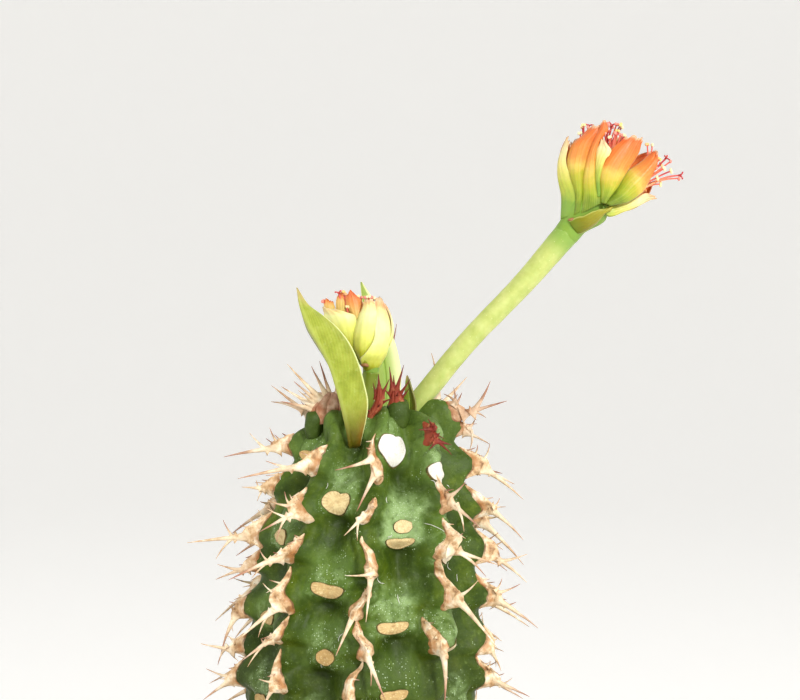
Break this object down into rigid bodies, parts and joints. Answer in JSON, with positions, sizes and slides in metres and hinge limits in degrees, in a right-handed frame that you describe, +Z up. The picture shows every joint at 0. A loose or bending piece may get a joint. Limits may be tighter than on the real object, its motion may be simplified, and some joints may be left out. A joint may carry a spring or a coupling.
{
  "type": "potted euphorbia",
  "caption": "Columnar ribbed euphorbia with forked spines, a crown of leaves and orange flower heads, standing in soil in a plain round clay pot.",
  "frame": {"origin": "middle of the pot's flat base, on the surface that it stands on", "axes": "+Z up the plant, the pictured side faces -Y, the long flower stalk leans to +X"},
  "size_m": [0.12, 0.12, 0.2274],
  "materials": {
    "clay": "matte",
    "soil": "matte",
    "stem": "satin",
    "leaf": "satin",
    "stalk": "satin",
    "bloom": "satin"
  },
  "bodies": {
    "root": {"pot": "clay", "soil": "soil", "stem": "stem", "leaf_large": "leaf", "leaf_back": "leaf", "leaf_young": "leaf", "flower_stalk_long": "stalk", "bloom_long": "bloom", "flower_stalk_short": "stalk", "bloom_short": "bloom"}
  },
  "joints": []
}
